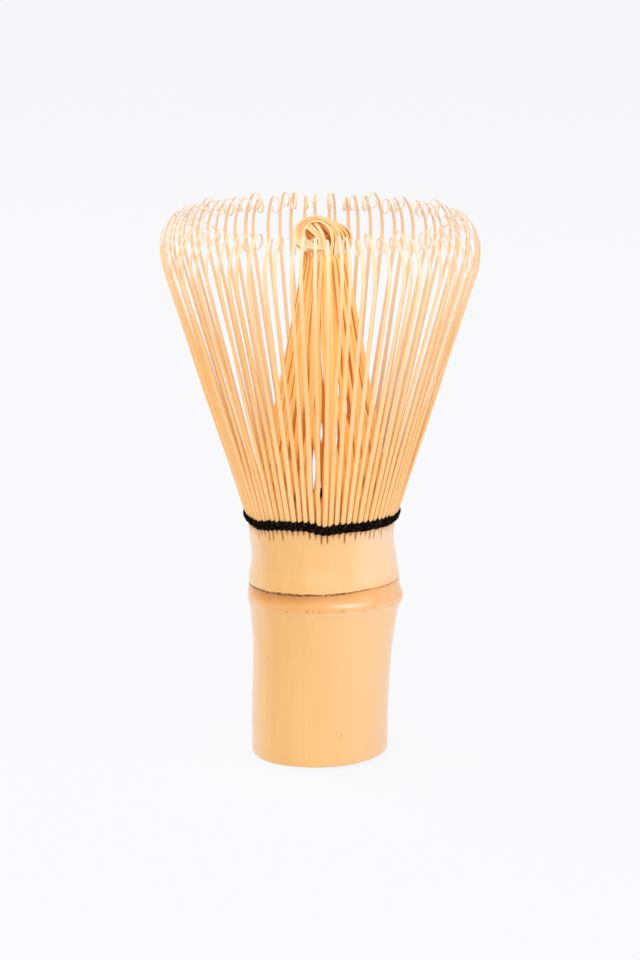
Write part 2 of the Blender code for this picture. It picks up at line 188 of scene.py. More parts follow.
class BambooColours(PropertyGroup):
    """Colours of the bamboo and the thread."""
    skin: colour("Skin", "Waxy skin of the culm", 0.815, 0.465, 0.155)
    # The pale skin colour is painted light, laid on the right side of the culm where the light falls.
    skin_painted_light: colour("Skin pale", "Paler side of the culm", 0.87, 0.54, 0.265)
    skin_deep: colour("Skin deep", "Darker streaks in the skin", 0.745, 0.375, 0.088)
    node_band: colour("Node band", "Band between ring and leaf scar", 0.83, 0.33, 0.055)
    scar: colour("Scar", "Leaf scar", 0.085, 0.03, 0.008)
    # The polished colour is painted light: a pale reflection on the left edge, the lit right side above the
    # scar, and highlights on the ring.
    painted_highlight: colour("Polished", "Worn crest of the node's ring", 0.93, 0.76, 0.6)
    cut: colour("Cut", "Sawn and carved wood", 0.82, 0.52, 0.25)
    # The slit colour is painted shade inside the slits and under the leaf scar, and the colour of the specks
    # on the ring.
    slit: colour("Slit", "Inside of the slits", 0.4, 0.15, 0.028)
    # The fibre colour is also painted shade just under the thread.
    fibre: colour("Fibre", "Fibre bundles in sawn wood", 0.46, 0.22, 0.075)
    tine: colour("Tine", "Outer tines", 0.93, 0.592, 0.275)
    tine_tip: colour("Tine tip", "Shaved tips of the tines", 0.96, 0.725, 0.455)
    # The curl colour is partly the thin shaved wood and partly painted light passed through the thin curls.
    curl: colour("Curl", "Curled ends of the outer tines", 0.91, 0.72, 0.505)
    tuft: colour("Tuft", "Inner tines", 0.965, 0.61, 0.215)
    passed: colour("Passed light", "Light through the inner tines", 0.076, 0.042, 0.011)
    tuft_tip: colour("Tuft tip", "Inner tines in the knot", 0.955, 0.69, 0.395)
    # Split is partly the split wood's own colour and partly painted shade on the sides of the tines and on
    # tines inside the bundle; crease is painted shade on the sides of the inner tines.
    split: colour("Split", "Split sides and inner layers", 0.99, 0.5, 0.115)
    painted_side_shade: colour("Crease", "Sides of the inner tines", 0.66, 0.28, 0.055)
    thread: colour("Thread", "Black thread", 0.0015, 0.001, 0.0008)
    thread_dust: colour("Thread dust", "Paler fibres of the thread", 0.06, 0.037, 0.024)


class StageSettings(PropertyGroup):
    """Floor, light and camera."""
    floor: colour("Floor", "Pale floor and surroundings", 0.939, 0.939, 0.956)
    world_level: share("World level", "Strength of the even light", 0.72)
    key_power: power("Key power", "Soft light at the right", 2.1)
    fill_power: power("Fill power", "Soft light in front", 3.2)
    rim_power: power("Rim power", "Soft light behind at the left", 2.7)
    top_power: power("Top power", "Soft light above in front", 1.55)
    lens: focal("Lens", "Focal length", 107.14)
    pitch: angle("Pitch", "How far the camera looks down", 13.07)


# Shader maths

def pairing(operation, reflected=False):
    """A Python operator that adds a Math node for a wire and another value."""
    def pair(self, other):
        return self.maths(operation, *((other, self) if reflected else (self, other)))
    return pair


class Wire:
    """A socket whose Python operators add Math nodes, so that shader maths reads as a formula."""

    def __init__(self, nodes, socket):
        self.nodes, self.socket = nodes, socket

    def maths(self, operation, *values):
        return self.nodes.node("ShaderNodeMath", {"operation": operation}, dict(enumerate(values)))

    def __abs__(self):
        return self.maths("ABSOLUTE", self)

    __add__ = __radd__ = pairing("ADD")
    __sub__, __rsub__ = pairing("SUBTRACT"), pairing("SUBTRACT", reflected=True)
    __mul__ = __rmul__ = pairing("MULTIPLY")
    __or__ = __ror__ = pairing("MAXIMUM")

    def step(self, low, high):
        """0 below low, 1 above high, and a smooth rise between them."""
        return self.nodes.node("ShaderNodeMapRange", {"interpolation_type": "SMOOTHSTEP"},
                               {"Value": self, "From Min": low, "From Max": high})

    def peak(self, centre, reach):
        """1 at the centre, falling smoothly to 0 at the reach on either side."""
        return 1 - abs(self - centre).step(0, reach)


class Nodes:
    """A node tree in the making, with one method for any node."""

    def __init__(self, tree):
        self.tree = tree

    def fill(self, node, sockets):
        """Link a node's sockets, or set them where the value is no link."""
        for key, value in sockets.items():
            if isinstance(value, Wire):
                self.tree.links.new(value.socket, node.inputs[key])
            else:
                node.inputs[key].default_value = value

    def node(self, kind, settings=None, sockets=None, output=0):
        """Add a node, set it up, fill its sockets, and return one of its outputs."""
        node = self.tree.nodes.new(kind)
        for key, value in (settings or {}).items():
            setattr(node, key, value)
        self.fill(node, sockets or {})
        return Wire(self, node.outputs[output])

    def seen(self):
        """1 where the camera, a reflection or glass looks, and 0 for light that falls on a surface."""
        camera, glossy, clear = (self.node("ShaderNodeLightPath", output=f"Is {ray} Ray")
                                 for ray in ("Camera", "Glossy", "Transmission"))
        return camera | glossy | clear


class Finish(Nodes):
    """A material in the making: its Principled shader, and the colour laid on it so far."""

    def __init__(self, name, constants):
        self.material = bpy.data.materials.new(name)
        self.material.use_nodes = True
        super().__init__(self.material.node_tree)
        self.shader = self.tree.nodes["Principled BSDF"]
        self.fill(self.shader, constants)

    def attributes(self, *names):
        return [self.node("ShaderNodeAttribute", {"attribute_name": name}, output="Fac") for name in names]

    def place(self):
        return self.node("ShaderNodeTexCoord", output="Object")

    def upright(self, vector, scale):
        """The place with its height scaled, for marks that run up or round."""
        return self.node("ShaderNodeMapping", None, {"Vector": vector, "Scale": (1, 1, scale)})

    def joined(self, x, y, z):
        return self.node("ShaderNodeCombineXYZ", None, {"X": x, "Y": y, "Z": z})

    def part(self, vector, axis):
        return self.node("ShaderNodeSeparateXYZ", None, {0: vector}, axis)

    def noise(self, vector, scale, detail=2, roughness=0.5):
        return self.node("ShaderNodeTexNoise", None,
                         {"Vector": vector, "Scale": scale, "Detail": detail, "Roughness": roughness})

    def cells(self, vector, scale, output="Distance"):
        return self.node("ShaderNodeTexVoronoi", None, {"Vector": vector, "Scale": scale}, output)

    def mix(self, factor, under, over):
        """A mix of two colours, each a link or three numbers."""
        pair = [value if isinstance(value, Wire) else (*value, 1) for value in (under, over)]
        return self.node("ShaderNodeMix", {"data_type": "RGBA"}, {0: factor, 6: pair[0], 7: pair[1]}, 2)

    def paint(self, mask, over):
        """Lay a colour over what is there, as far as the mask says."""
        self.base = self.mix(mask, self.base, over)

    def surface(self, roughness, height, depth, strength):
        """Link the colour, the roughness and a height for the bump, and return the material."""
        bump = self.node("ShaderNodeBump", None, {"Height": height, "Distance": depth, "Strength": strength})
        self.fill(self.shader, {"Base Color": self.base, "Roughness": roughness, "Normal": bump})
        return self.material


# Surfaces

def bell(distance, reach):
    """exp of minus the square of distance over reach."""
    return np.exp(-(distance / reach) ** 2)


def ease(value, low, high):
    """0 below low, 1 above high, and 3t^2 - 2t^3 between them."""
    t = np.clip((value - low) / (high - low), 0, 1)
    return t * t * (3 - 2 * t)


def between(start, end, way):
    """start + (end - start) * way."""
    return start + (end - start) * way


def unit(vectors):
    """Vectors over their lengths."""
    return vectors / np.linalg.norm(vectors, axis=-1, keepdims=True)


def so_far(steps):
    """Running sum of the steps along each tine, from 0."""
    return np.hstack((np.zeros((TINES, 1)), np.cumsum(steps, axis=1)))


def scatter(draw, spread):
    """A normal chance value for each tine, kept within twice the spread."""
    return draw.normal(0, spread, (TINES, 1)).clip(-2 * spread, 2 * spread)


def ripple(draw, angles, count, low, high):
    """Sum of sines of the angle, about -1 to 1, weaker for the higher of their whole chance frequencies."""
    pitch = draw.integers(low, high, count).astype(float)
    phase, strength = draw.uniform(0, tau, count), (low / pitch) ** 0.6
    total = (np.sin(angles[..., None] * pitch + phase) * strength).sum(-1)
    return total / (strength ** 2).sum() ** 0.5 / 1.4


def tubes_mesh(name, points, attributes=None, corner_uv=None):
    """A mesh of tubes laid out as (tube, row, column, xyz), each closed round its columns and capped.

    Quad (row, column) joins a row to the next and a column to the next, the last column to the first.
    """
    tubes, rows, columns = points.shape[:3]
    index = np.arange(tubes * rows * columns).reshape(tubes, rows, columns)
    beside = np.roll(index, -1, axis=2)
    quads = np.stack((index[:, :-1], index[:, 1:], beside[:, 1:], beside[:, :-1]), -1).reshape(-1, 4)
    caps = np.concatenate((index[:, 0], index[:, -1, ::-1]))
    mesh = bpy.data.meshes.new(name)
    mesh.from_pydata(points.reshape(-1, 3).tolist(), [], quads.tolist() + caps.tolist())
    mesh.shade_smooth()
    for key, values in (attributes or {}).items():
        layer = mesh.attributes.new(key, "FLOAT", "POINT")
        layer.data.foreach_set("value", np.broadcast_to(values, index.shape).astype(np.float32).ravel())
    if corner_uv is not None:
        along, around = corner_uv
        uv = np.zeros((tubes, rows - 1, columns, 4, 2), np.float32)
        uv[..., 0] = np.stack((along[:, :-1], along[:, 1:], along[:, 1:], along[:, :-1]), -1)[:, :, None]
        uv[..., 1] = np.stack((around[:-1], around[:-1], around[1:], around[1:]), -1)
        flat = np.zeros((len(mesh.loops), 2), np.float32)
        flat[:uv.size // 2] = uv.reshape(-1, 2)
        mesh.uv_layers.new(name="strand").data.foreach_set("uv", flat.ravel())
    mesh.update()
    return mesh


def add_object(name, data):
    """A new object in the scene."""
    thing = bpy.data.objects.new(name, data)
    bpy.context.scene.collection.objects.link(thing)
    return thing


def add_piece(mesh, material, slot, *nodes):
    """An object for a finished mesh, which rides on the one body and stands for CAD nodes."""
    mesh.materials.append(material)
    piece = add_object(mesh.name, mesh)
    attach(piece, "root")
    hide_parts(*nodes)


def add_splints(name, points, attributes, material, slot, node):
    """One piece for each splint's five tines, in place of the CAD node of the same number."""
    for splint in range(SPLINTS):
        own = slice(splint * TINES_PER_SPLINT, (splint + 1) * TINES_PER_SPLINT)
        values = {key: np.broadcast_to(value, points.shape[:3])[own] for key, value in attributes.items()}
        mesh = tubes_mesh(f"{name}_{splint + 1:02d}", points[own], values)
        add_piece(mesh, material, slot, f"{node}_{splint + 1:02d}")


def rounded_section(columns, power_of):
    """Superellipse: across and through are the signed powers of cosine and sine, from -1 to 1."""
    turn = tau * (np.arange(columns) + 0.5) / columns
    return [np.sign(wave) * np.abs(wave) ** power_of for wave in (np.cos(turn), np.sin(turn))]


def carried(path, facing, width, thickness, twist, section):
    """A section carried along paths (tube, row, xyz): path + side * across + face * through.

    The side is the run crossed with the facing direction, and both turn about the run by the twist.
    """
    run = unit(np.gradient(path, axis=1))
    side = unit(np.cross(run, facing))
    face = np.cross(side, run)
    cosine, sine = np.cos(twist)[..., None], np.sin(twist)[..., None]
    side, face = side * cosine + face * sine, face * cosine - side * sine
    across, through = section
    return (path[:, :, None] + side[:, :, None] * (width[:, :, None] / 2 * across)[..., None]
            + face[:, :, None] * (thickness[:, :, None] / 2 * through)[..., None])


def smooth_path(control, rows):
    """Catmull-Rom curve through control points (tube, point, value), at evenly spaced parameters."""
    last = control.shape[1] - 1
    place = np.linspace(0, last, rows)
    start = np.minimum(place.astype(int), last - 1)
    t = (place - start)[:, None]
    before, one, two, after = (control[:, np.clip(start + shift, 0, last)] for shift in (-1, 0, 1, 2))
    return one + 0.5 * t * (two - before + t * (2 * before - 5 * one + 4 * two - after
                                                + t * (3 * (one - two) + after - before)))


def polar(angles):
    """Unit vectors out from the axis and round it at angles."""
    zero = np.zeros_like(angles)
    return (np.stack((np.cos(angles), np.sin(angles), zero), -1),
            np.stack((-np.sin(angles), np.cos(angles), zero), -1))


def from_front(angles):
    """Degrees from the front, -180 to 180, rising to the right."""
    return np.degrees((angles - FRONT + pi) % tau - pi)


def band_drop(angles):
    """How far the band strays from level: it sags at the left and dips at the middle."""
    return MM * np.interp(from_front(angles),
                          (-180, -120, -80, -55, -40, -25, -15, -8, 2, 10, 30, 50, 82, 120, 180),
                          (0, -0.15, -0.48, -0.87, -0.04, 0.39, 0.47, 0.33, -0.4, 0.02, 0.07, -0.04, -0.27,
                           0.15, 0))


def neck_flare(height, culm):
    """How far the neck's skin has bent outward at a height: slope * (t^3 - t^4 / 2), then straight."""
    t = (height - culm.crown_height) / culm.flare_rise
    bent = np.clip(t, 0, 1)
    curve = FLARE_SLOPE * (bent ** 3 - bent ** 4 / 2)
    return culm.flare_rise * (curve + tan(FLARE_SLOPE) * np.maximum(t - 1, 0))


def handle_surface(culm, thread):
    """The culm as one turned sheet, rows down and columns round: hollow, neck, skin, foot and bore.

    Skin radius = taper by height squared + broad swell, flatter above, + narrow bell at the node - groove at
    the scar, with slow ripples. The neck bends outward to the thread, less a narrow bell at every slit.
    Height gains a slope to the front that fades away from the node, and x gains a shift that grows up to the
    node and falls back in the neck. The foot is sawn a little out of square.
    """
    draw = np.random.default_rng(SEED)
    beside_slit = np.array((-0.5, -0.3, -0.16, -0.07, 0, 0.07, 0.16, 0.3))
    columns = beside_slit.size
    turn = (FRONT + PITCH * (np.arange(TINES)[:, None] + beside_slit)).ravel()
    crown, node, edge, bore = culm.crown_height, culm.node_height, culm.edge_round, culm.bore_radius
    levels = (crown, node + 6.5 * MM, node + 4.6 * MM, node + 1.6 * MM, node - 3 * MM, edge)
    skin = np.concatenate([np.linspace(high, low, rows, endpoint=False)
                           for high, low, rows in zip(levels, levels[1:], (7, 6, 34, 18, 21))] + [[edge]])
    quarter = np.linspace(0, pi / 2, 6)[1:]
    wall_top, wall_foot = node + culm.septum / 2, node - culm.septum / 2
    hollow = np.array(((0.4 * MM, wall_top), (culm.floor_radius - 0.8 * MM, wall_top + 0.1 * MM),
                       (culm.floor_radius, wall_top + MM),
                       (culm.crown_bore - 0.6 * MM, crown - 3 * MM), (culm.crown_bore, crown - 0.1 * MM),
                       (culm.crown_bore + 0.1 * MM, crown), (culm.crown_radius - 0.7 * MM, crown)))
    below = np.array(((bore + 0.3 * MM, 0), (bore, 0.3 * MM), (bore, wall_foot - MM),
                      (bore - MM, wall_foot), (bore * 0.5, wall_foot + 0.2 * MM), (0.4 * MM, wall_foot)))
    band = thread.height + band_drop(turn) - 0.1 * MM
    collar = np.linspace(1, 0, 18, endpoint=False)
    collar = between(crown, band, np.concatenate((collar[:1], collar))[:, None])
    lower = np.concatenate((skin, edge - edge * np.sin(quarter), below[:, 1]))[:, None]
    all_round = np.ones(turn.size)
    height = np.concatenate((hollow[:, 1:] * all_round, collar, lower * all_round))
    rise = height - node

    taper = between(culm.base_radius, culm.crown_radius, np.minimum(height / crown, 1) ** 2)
    ends = np.clip(np.minimum(height, crown - height) / culm.node_swell_reach, 0, 1)
    right = np.cos(turn)
    scar_line = (culm.scar_rise + culm.scar_slope * culm.crown_radius * right
                 + 0.24 * MM * ease(right, 0, 0.6) + 0.3 * MM * ease(-right, 0.7, 0.97)
                 + 0.045 * MM * ripple(draw, turn, 9, 9, 70) + 0.08 * MM * ripple(draw, turn, 4, 2, 6))
    scar = rise - scar_line
    groove = culm.scar_depth * (0.75 + 0.5 * ripple(draw, turn, 8, 5, 60))
    uneven = 0.035 * MM * ripple(draw, turn + rise * 9, 7, 2, 13)
    ring = culm.ring_swell * (1 + 0.06 * ripple(draw, turn, 6, 3, 16))
    slit_foot = band[columns // 2::columns] - 2.4 * MM - 1.4 * MM * draw.uniform(0, 1, TINES) ** 1.5
    slit_foot = np.repeat(slit_foot, columns)
    apart = np.tile(np.abs(beside_slit), TINES) * PITCH * culm.crown_radius
    slit = bell(apart, culm.slit_width / 2) * ease(height, slit_foot, slit_foot + 1.5 * MM)
    reach = culm.node_swell_reach
    broad = np.where(rise > 0, np.exp(-(rise / reach) ** 4), bell(rise, reach))
    radius = (taper + culm.node_swell * broad + ring * bell(rise, culm.ring_reach) + ends * uneven
              + 0.05 * MM * ends * bell(scar - 0.25 * MM, 0.3 * MM) - groove * bell(scar, 0.13 * MM)
              + neck_flare(height, culm) - culm.slit_depth * slit)

    first = len(hollow)
    last = first + len(collar) + len(skin)
    foot = last + quarter.size
    radius[first] = radius[first + 1] - 0.5 * MM
    radius[:first] = hollow[:, :1]
    radius[last:foot] = radius[last - 1] - edge * (1 - np.cos(quarter))[:, None]
    radius[foot:] = below[:, :1]
    cut = np.ones_like(height)
    cut[first:last] = 0
    cut[last:last + 2] = 0.4

    fade = np.clip(np.abs(rise) / np.where(rise > 0, crown - node, node), 0, 1)
    lean = np.cos(pi / 2 * fade) ** 4
    shift = (culm.node_shift * ease(height, 5 * MM, node) - 0.04 * MM + 0.28 * MM * bell(rise, 1.8 * MM)
             - (culm.node_shift - 0.04 * MM - culm.neck_shift) * ease(height, 38 * MM, 43 * MM))
    x, y = radius * right, radius * np.sin(turn)
    sawn = culm.foot_slope * x - 0.045 * MM - 0.25 * MM * ease(-x, 3 * MM, 12 * MM)
    sawn *= 1 - ease(height, 0, 12 * MM)
    points = np.stack((x + shift, y, height - lean * culm.node_tilt * y + sawn), -1)
    return points[None], {"node_rise": rise / MM, "scar_rise": scar / MM, "cut": cut, "slit": slit,
                          "under": (height - band) / MM + 0.95}


def parted(path, spread=1):
    """Middle lines (tine, row, xyz) drawn apart at the places where light falls through.

    Near such a line of sight a tine that comes closer than the opening moves sideways to the opening's edge,
    on the side where it mostly runs.
    """
    for x, height, reach, opening in LIGHT_GAPS:
        near = bell(path[..., 2] + SIGHT_FALL * path[..., 1] - height, reach * spread)
        aside = path[..., 0] - x
        side = np.sign((aside * near).sum(-1, keepdims=True))
        short = opening - (opening + 2 * MM) * (1 - near) - side * aside
        path[..., 0] += side * ease(near, 0.05, 0.4) * 0.5 * (short + np.sqrt(short ** 2 + (0.08 * MM) ** 2))
    return path


def outer_walk(tine, culm, draw):
    """Middle lines of the outer tines as (tine, row) arrays: radius, height, slope, length, shift and skew.

    A tine is walked in small steps, each by the sine of the slope outward and by its cosine upward.
    It bends from the neck into its flare, runs straight, bends upright at the elbow, which is lower at the
    front, leans in over the shoulder and curls. The flare just meets the elbow's circle.
    """
    head = tine.head_radius - 0.38 * MM + scatter(draw, 0.18 * MM)
    to_front = np.cos(PITCH * (np.arange(TINES) + 0.5))[:, None]
    elbow = tine.elbow_height - tine.front_drop * ease(to_front, 0, 0.9) + scatter(draw, 0.1 * MM)
    bend = tine.elbow_bend * (1 + scatter(draw, 0.06))
    lean = tine.lean + scatter(draw, radians(2.5))
    counts = (8, 30, 6, 8, 2, 27)
    neck, run, upright, over, _, curling = ((np.arange(count) + 0.5) / count for count in counts)

    root = np.full((TINES, 1), culm.flare_rise)
    start = culm.crown_radius - tine.thickness / 2 - 0.03 * MM
    soften = ease(neck, 0, 1)
    flare = np.full((TINES, 1), FLARE_SLOPE)
    for _ in range(5):
        out = head - bend - start - root * np.sin(flare * soften).mean(1, keepdims=True)
        up = elbow - culm.crown_height - root * np.cos(flare * soften).mean(1, keepdims=True)
        flare = np.arccos(-bend / np.hypot(out, up)) - np.arctan2(up, out)
    straight = np.sqrt(out ** 2 + up ** 2 - bend ** 2)

    turn = tine.curl_turn + scatter(draw, radians(26))
    shoulder = tine.shoulder * (1 + scatter(draw, 0.05))
    curl = between(tine.curl_radius, tine.curl_end, curling) * (1 + scatter(draw, 0.09))
    bow = scatter(draw, 0.012) * np.sin(tau * run)
    slope = np.hstack((flare * soften, flare + bow, flare * (1 - upright), -lean * over,
                       np.repeat(-lean, counts[4], 1), -lean - turn * curling))
    lengths = (root, straight, bend * flare, shoulder * lean, tine.lean_length + scatter(draw, 0.12 * MM))
    stride = [np.repeat(part / count, count, 1) for part, count in zip(lengths, counts)]
    stride = np.hstack(stride + [curl * turn / counts[5]])
    radius = start + so_far(stride * np.sin(slope))
    height = culm.crown_height + so_far(stride * np.cos(slope))
    far = so_far(stride)
    slope = np.hstack((slope[:, :1], (slope[:, 1:] + slope[:, :-1]) / 2, slope[:, -1:]))

    before = sum(counts[:5])
    rows = np.arange(sum(counts) + 1)
    skew = draw.uniform(-1, 1, (TINES, 1)) * tine.curl_skew * ease(rows, before - 5, before + 3)
    inward = radius[:, before:before + 1] - radius
    inward[:, :before] = 0
    aside = (scatter(draw, 0.28 * MM) * np.clip((rows - before) / counts[5], 0, 1)
             + scatter(draw, 0.4 * MM) * ease(far, 8 * MM, 60 * MM)
             + scatter(draw, 0.1 * MM) * ease(far, 2 * MM, 12 * MM) + inward * np.sin(skew))
    draw.normal(size=TINES)  # one draw for each tine is passed over
    return radius + inward * (1 - np.cos(skew)), height, slope, far, aside, skew


def tine_attributes(draw, far, section, inside):
    """Millimetres along from the root and from the tip, place across, depth inside, and a chance tone."""
    along = far[..., None] / MM
    return {"along": along, "tip": along - along[:, -1:], "across": section[0], "inside": inside,
            "tone": draw.uniform(0, 1, (TINES, 1, 1))}


def outer_tine_surface(tine, culm):
    """Every outer tine as a rounded ribbon along its walk, its root inside the neck."""
    draw = np.random.default_rng(SEED + 1)
    radius, height, slope, far, aside, skew = outer_walk(tine, culm, draw)
    radius -= 0.45 * MM * (1 - ease(far, 4.2 * MM, 5.4 * MM))
    out, around = polar(FRONT + PITCH * (np.arange(TINES) + 0.5)[:, None])
    path = out * radius[..., None] + around * aside[..., None] + UP * height[..., None]
    path[..., 0] += between(culm.neck_shift, 0.05 * MM, ease(far, 15 * MM, 60 * MM))
    path = parted(path, 2)
    outward = out * np.cos(skew)[..., None] - around * np.sin(skew)[..., None]
    facing = outward * np.cos(slope)[..., None] - UP * np.sin(slope)[..., None]

    whole = far[:, -1:]
    width = between(tine.width, tine.elbow_width, ease(far, 3 * MM, 55 * MM))
    width += (tine.tip_width - tine.elbow_width) * ease(far, whole - 15 * MM, whole - 2 * MM)
    width *= (1 + draw.normal(0, 0.05, (TINES, 1)))
    thin = np.interp(far / whole, (0, 0.05, 0.16, 0.78, 0.86, 1),
                     (tine.thickness, tine.thickness, 0.62 * MM, 0.32 * MM, 0.12 * MM, tine.tip_thickness))
    twist = draw.normal(0, radians(8), (TINES, 1)) * ease(far, 6 * MM, 50 * MM)
    section = rounded_section(12, 0.55)
    points = carried(path, facing, width, thin, twist, section)
    return points, tine_attributes(draw, far, section, np.minimum(section[1], 0))


def knot_path(tuft, draw):
    """Points of every inner tine on the knot, the way its face looks there, and how deep it is buried.

    The knot is a low ring tipped to the front. Most tines follow a blend of an outer and an inner guide, from
    the right over the back and the left to the front, and begin above their own roots. Tines from the front
    cross the top beside the eye, and those from the front left close the ring from below.
    """
    cross, close = KNOT_GUIDES[2:]
    root = (np.degrees(FRONT + PITCH * np.arange(TINES)[:, None]) + 110) % 360 - 110
    guides = smooth_path(KNOT_GUIDES[:2], 201)
    run = np.linspace(0, 1, len(cross))

    front, right, left = -76, 30, 200
    of_front, of_right, of_left = root < front, root < right, root > left
    begin = np.where(of_right, 0, 0.25 + 0.48 * (root - right) / (left - right))
    along = begin + (0.95 + scatter(draw, 0.025) - begin) * run
    blend = np.where(of_right, 1 - (root - front) / (right - front), draw.uniform(0, 0.7, (TINES, 1)))
    sway = scatter(draw, 0.022) * np.sin(tau * (run * 1.3 + draw.uniform(0, 1, (TINES, 1))))
    blend = np.clip(blend + sway, 0, 1)[..., None]
    step = np.rint(along * 200).astype(int)
    place = between(guides[0][step], guides[1][step], blend)
    rank = root.argsort(0).argsort(0)
    fan = ((rank % 3 - 1) * 0.92 + scatter(draw, 0.05)) * np.sin(pi * run)
    fan = fan[..., None] * np.array((0.8, 0.8, 0))
    place = np.where(of_front[..., None], cross + fan, np.where(of_left[..., None], close + fan, place))
    rising = np.interp(np.arange(len(run)), range(5), (1, 0.7, 0.35, 0.1, 0)) * (of_front | of_left)
    above_root = 4.1 * polar(np.radians(root))[0][..., :2] + (0.9, 0)
    place[..., :2] += rising[..., None] * (above_root - place[..., :2])
    seen = np.where(of_front, rank < 3, (of_right & (rank % 4 == 0)) | (of_left & (rank % 3 == 0)))
    layer = np.where(of_right | of_left, 2 + rank % 4, 3 + rank % 6)
    layer = np.where(seen, 0.3 * (rank // 4 % 2), layer)
    sunk = np.where(of_front | of_left, 0.38, 0.25) * layer * (1 - 0.35 * ease(-place[..., 1], 1, 4))
    place[..., :2] *= 1 - 0.02 * layer[..., None]
    place[..., 0] += 0.25 * scatter(draw, 0.2)
    place[..., 1] += 0.25 * scatter(draw, 0.2)
    place[..., 2] += 0.06 * scatter(draw, 1) * np.sin(tau * run) - sunk

    cosine, sine = cos(tuft.knot_tilt), sin(tuft.knot_tilt)
    tipped = np.array(((1, 0, 0), (0, cosine, sine), (0, -sine, cosine)))
    facing = unit(place - np.array((0.8, 0, -3.2)))
    points = UP * tuft.knot_height + place @ tipped * tuft.knot_radius / KNOT_SPAN
    return points, facing @ tipped, np.where(seen, 0, 0.8)


def inner_tine_surface(tuft, crown):
    """Every inner tine as a rounded ribbon along a smooth curve: root, bowed cone, neck and knot.

    Points on the cone lie at a radius for each height, less a depth for each of three layers, and wander a
    little sideways by sines of the height. The points of the knot follow.
    """
    draw = np.random.default_rng(SEED + 2)
    number = np.arange(TINES)[:, None]
    bowed = np.array(((46, 12.62), (50, 12.45), (57, 11.6), (64.4, 10.2), (72, 8.75), (78.5, 7.6),
                      (84, 6.5), (90, 5.3))) * MM
    cone = np.vstack(((crown, tuft.root_radius), bowed, (tuft.neck_height, tuft.neck_radius)))
    height = cone[:, 0]
    way = (height - crown) / (tuft.neck_height - crown)
    layer = number % 3
    radius = cone[:, 1] - (tuft.thickness / 2 + 0.24 * MM * layer * ease(way, 0.3, 0.95)
                           + np.abs(scatter(draw, 0.25 * MM)) * np.sin(pi * way))
    wander = sum(scatter(draw, spread * MM) * np.sin(waves * pi * way)
                 for spread, waves in ((0.7, 1), (0.45, 2), (0.1, 5)))
    wander *= 1 - 0.75 * ease(way, 0.5, 0.8)
    out = polar(FRONT + PITCH * number + wander / radius)[0]
    cone_points = out * radius[..., None] + UP * height[:, None]
    cone_points[..., 0] += between(0.28 * MM, tuft.shift, ease(way, 0, 0.5))

    knot_points, knot_facing, buried = knot_path(tuft, draw)
    path = parted(smooth_path(np.hstack((cone_points, knot_points)), 112))
    facing = unit(smooth_path(np.hstack((unit(out + UP * 0.18), knot_facing)), 112))
    far = so_far(np.linalg.norm(np.diff(path, axis=1), axis=-1))
    along = far / far[:, -1:]
    width = between(tuft.width, tuft.neck_width, ease(along, 0.15, 0.62))
    width += (tuft.tip_width - tuft.neck_width) * ease(along, 0.68, 0.78)
    width *= (1 + scatter(draw, 0.06)) * (1 - 0.35 * ease(along, 0.93, 1))
    thin = between(tuft.thickness, tuft.tip_thickness, ease(along, 0.05, 0.7))
    twist = scatter(draw, radians(9)) * np.sin(pi * along)
    twist += radians(16) * ease(along, 0.72, 0.8)
    section = rounded_section(12, 0.6)
    points = carried(path, facing, width, thin, twist, section)
    # Tines under others, and the inner faces of the inner tines, get an inside value with which the finish
    # paints shade.
    inside = between(0.5 * layer, buried, ease(along, 0.66, 0.74))[..., None]
    return points, tine_attributes(draw, far, section, np.maximum(inside, -section[1]))


def thread_surface(thread, tine, culm):
    """Two strands that twine: each goes outside one tine and inside the next, the other the opposite way.

    Radius = tine radius + swing by the cosine of half the tine count times the angle. The height follows the
    band, steps up by a row at the back, and gains a little of the sine of the same and a chance spike in each
    slit. The rows close up at the sides.
    """
    draw = np.random.default_rng(SEED + 3)
    turned = np.linspace(0, tau * thread.turns, TINES * 16 * thread.turns + 1)[None]
    angles = pi / 2 + turned
    phase = (angles - FRONT) * TINES / 2 - pi / 2 + np.array((0, pi))[:, None]
    level = sum(ease(turned, tau * turn - 0.2, tau * turn + 0.2) for turn in range(1, thread.turns))
    level -= (thread.turns - 1) / 2
    open_up = np.interp(from_front(angles), (-180, -115, -80, -62, -45, 55, 78, 115, 180),
                        (1, 0.8, 0.3, 0.7, 1, 0.9, 0.45, 0.8, 1))
    swing, gap = np.cos(phase), np.abs(np.sin(phase))
    slit_number = np.rint((angles - FRONT) / PITCH).astype(int) % TINES
    spike = draw.uniform(0.02 * MM, 0.36 * MM, TINES)[slit_number] * open_up
    whole = turned[0] / thread.turns
    loose = 0.09 * MM * np.stack([ripple(draw, whole, 16, 9, 190) for _ in range(2)])
    row = thread.row_step * (level - 0.5 * np.sign(level) * (1 - open_up))
    height = (thread.height + row + band_drop(angles) + loose + 0.13 * MM * np.sin(phase)
              + np.where(level > 0, spike, -0.3 * spike) * gap ** 7)
    radius = (culm.crown_radius - tine.thickness / 2 + neck_flare(height, culm)
              + np.sign(swing) * np.abs(swing) ** 0.6 * 0.5 * MM + 0.13 * MM * gap ** 5 + 0.6 * loose)
    out = polar(np.broadcast_to(angles, radius.shape))[0]
    path = out * radius[..., None] + UP * height[..., None]
    path[..., 0] += culm.neck_shift
    thick = 2 * thread.radius * (1 + 0.14 * np.stack([ripple(draw, whole, 14, 20, 260) for _ in range(2)]))
    thick *= 0.62 + 0.38 * open_up
    columns = 10
    points = carried(path, out, thick * 1.12, thick * 0.95, 0 * thick, rounded_section(columns, 1))
    return points, (np.repeat(turned * culm.crown_radius, 2, 0), np.arange(columns + 1) / columns)


# Finishes

